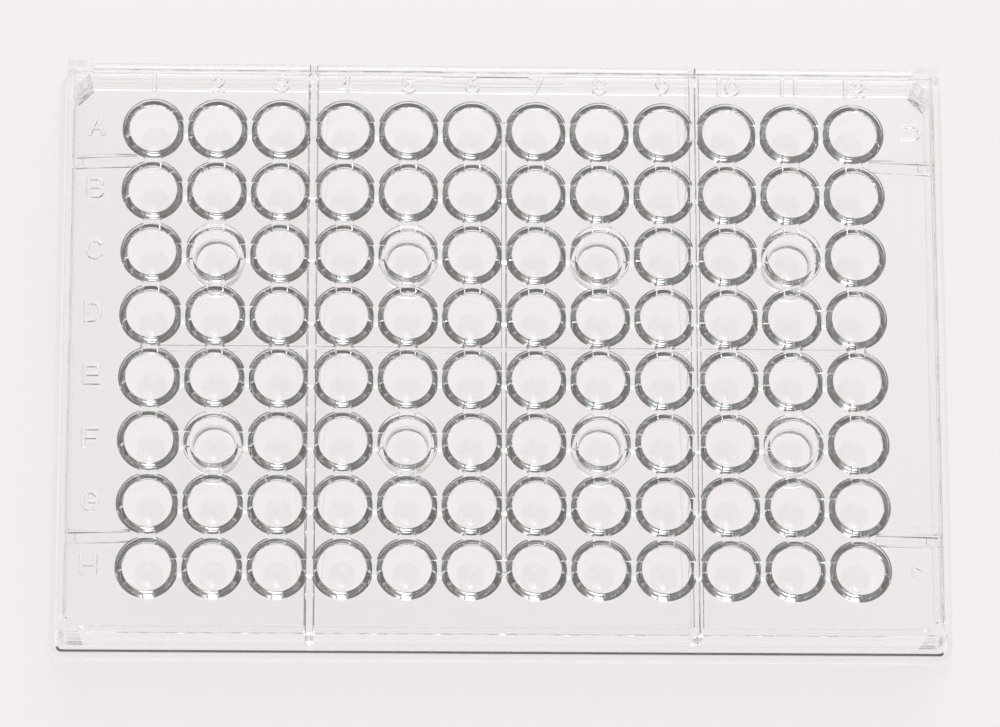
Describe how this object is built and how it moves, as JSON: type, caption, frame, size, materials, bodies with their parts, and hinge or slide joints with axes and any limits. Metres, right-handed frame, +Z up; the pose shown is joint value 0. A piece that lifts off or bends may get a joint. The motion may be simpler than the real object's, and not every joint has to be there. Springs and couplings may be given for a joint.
{
  "type": "well plate",
  "caption": "Clear moulded laboratory well plate: round-bottom wells with raised rims in a rectangular deck, with a border wall, ribs below and a stepped base flange.",
  "frame": {"origin": "centre of the footprint, on the plane that the base flange stands on", "axes": "+X along the rows of wells, +Y towards the first row, +Z up out of the wells"},
  "size_m": [0.1272, 0.0854, 0.0145],
  "materials": {
    "clear_polystyrene": "water-clear, polished mould finish"
  },
  "bodies": {
    "root": {"well_plate": "clear_polystyrene"}
  },
  "joints": []
}
